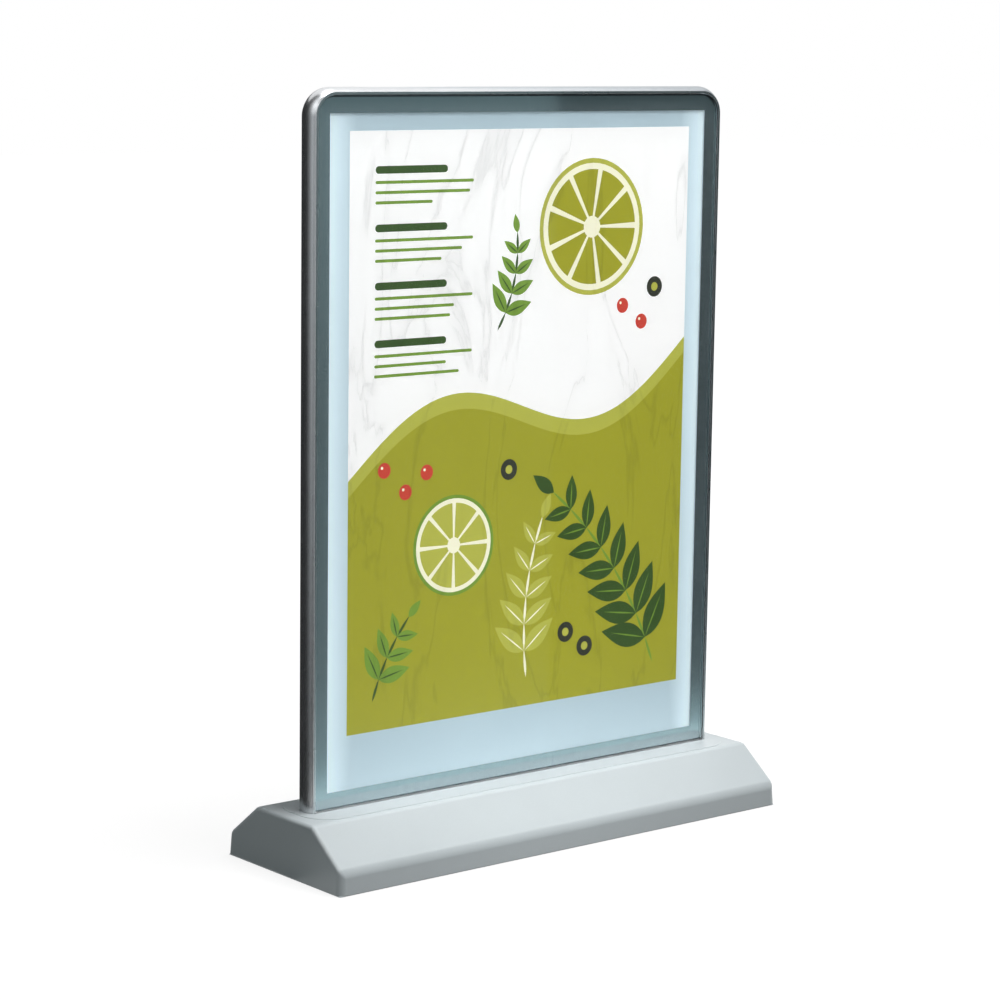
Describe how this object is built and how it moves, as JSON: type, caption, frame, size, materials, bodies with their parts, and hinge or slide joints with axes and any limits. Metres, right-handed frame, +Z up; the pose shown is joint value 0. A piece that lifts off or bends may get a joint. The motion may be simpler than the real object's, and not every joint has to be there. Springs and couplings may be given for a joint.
{
  "type": "illuminated table sign",
  "caption": "Free-standing double-faced LED light panel with a rounded metal frame, printed border and poster behind clear covers, in a low sloped battery base with a rocker switch.",
  "frame": {"origin": "on the surface that the feet stand on, under the middle of the base", "axes": "+Z up along the panel, front face towards -Y, +X along the base"},
  "size_m": [0.249, 0.0816, 0.3275],
  "materials": {
    "base_plastic": "satin moulded plastic, light silver grey",
    "dark_plastic": "fine-textured dark plastic",
    "switch_plastic": "black satin plastic",
    "rocker_plastic": "black plastic, slightly glossy",
    "foot_rubber": "matt rubber",
    "ballast_steel": "mill-finish steel",
    "screw_steel": "zinc-plated steel",
    "rail_steel": "galvanised sheet",
    "magnet_nickel": "nickel-plated magnet",
    "band_aluminium": "fine satin anodised aluminium",
    "rail_aluminium": "plain extruded aluminium",
    "clear_acrylic": "clear polished acrylic",
    "border_print": "grey screen print behind clear acrylic",
    "poster_film": "printed backlit film",
    "diffuser_film": "opal film, lit from behind",
    "guide_acrylic": "clear acrylic with etched dots, lit from its sides",
    "led_white": "white LED packages, lit",
    "strip_board": "white solder mask",
    "board_green": "green solder mask",
    "component_black": "moulded component bodies",
    "cell_wrap": "shrink-wrapped cell, density as a whole cell",
    "contact_nickel": "nickel strip",
    "socket_steel": "plated steel shell",
    "terminal_brass": "brass spades",
    "wire_red": "insulated wire",
    "wire_orange": "insulated wire",
    "wire_black": "insulated wire",
    "light_pipe": "frosted clear plastic"
  },
  "bodies": {
    "stand": {"base_housing": "base_plastic", "bottom_plate": "dark_plastic", "plate_screws": "screw_steel", "rubber_feet": "foot_rubber", "ballast_bar": "ballast_steel", "ballast_screws": "screw_steel", "battery_holder": "dark_plastic", "battery_cells": "cell_wrap", "battery_contacts": "contact_nickel", "control_board": "board_green", "board_components": "component_black", "board_screws": "screw_steel", "usb_socket": "socket_steel", "usb_tongue": "component_black", "charge_light_pipe": "light_pipe", "switch_housing": "switch_plastic", "switch_terminals": "terminal_brass", "battery_leads": "wire_red", "switch_leads": "wire_orange", "left_led_lead": "wire_black", "right_led_lead": "wire_black", "frame_band": "band_aluminium", "leg_screws": "screw_steel", "bottom_rail": "rail_aluminium", "panel_screws": "screw_steel", "left_led_rail": "rail_steel", "right_led_rail": "rail_steel", "left_led_strip": "strip_board", "right_led_strip": "strip_board", "left_leds": "led_white", "right_leds": "led_white", "light_guide": "guide_acrylic", "front_diffuser": "diffuser_film", "rear_diffuser": "diffuser_film"},
    "rocker": {"rocker_button": "rocker_plastic"},
    "front_cover": {"front_cover": "clear_acrylic", "front_cover_border": "border_print", "front_cover_magnets": "magnet_nickel"},
    "rear_cover": {"rear_cover": "clear_acrylic", "rear_cover_border": "border_print", "rear_cover_magnets": "magnet_nickel"},
    "front_poster": {"front_poster": "poster_film"},
    "rear_poster": {"rear_poster": "poster_film"}
  },
  "joints": [
    {"name": "rocker_tilt", "type": "hinge", "parent": "stand", "child": "rocker", "pos_m": [0.0515, 0.0301, 0.01785], "axis": [0, 0.7934, -0.6088], "range_deg": [-18, 0]},
    {"name": "front_cover_pull", "type": "slide", "parent": "stand", "child": "front_cover", "axis": [0, -1, 0], "range_m": [0, 0.08]},
    {"name": "rear_cover_pull", "type": "slide", "parent": "stand", "child": "rear_cover", "axis": [0, 1, 0], "range_m": [0, 0.08]},
    {"name": "front_poster_out", "type": "slide", "parent": "stand", "child": "front_poster", "axis": [0, -1, 0], "range_m": [0, 0.04]},
    {"name": "rear_poster_out", "type": "slide", "parent": "stand", "child": "rear_poster", "axis": [0, 1, 0], "range_m": [0, 0.04]}
  ],
  "couplings": [
    {"joint": "front_poster_out", "follows": "front_cover_pull", "ratio": 0.5},
    {"joint": "rear_poster_out", "follows": "rear_cover_pull", "ratio": 0.5}
  ]
}
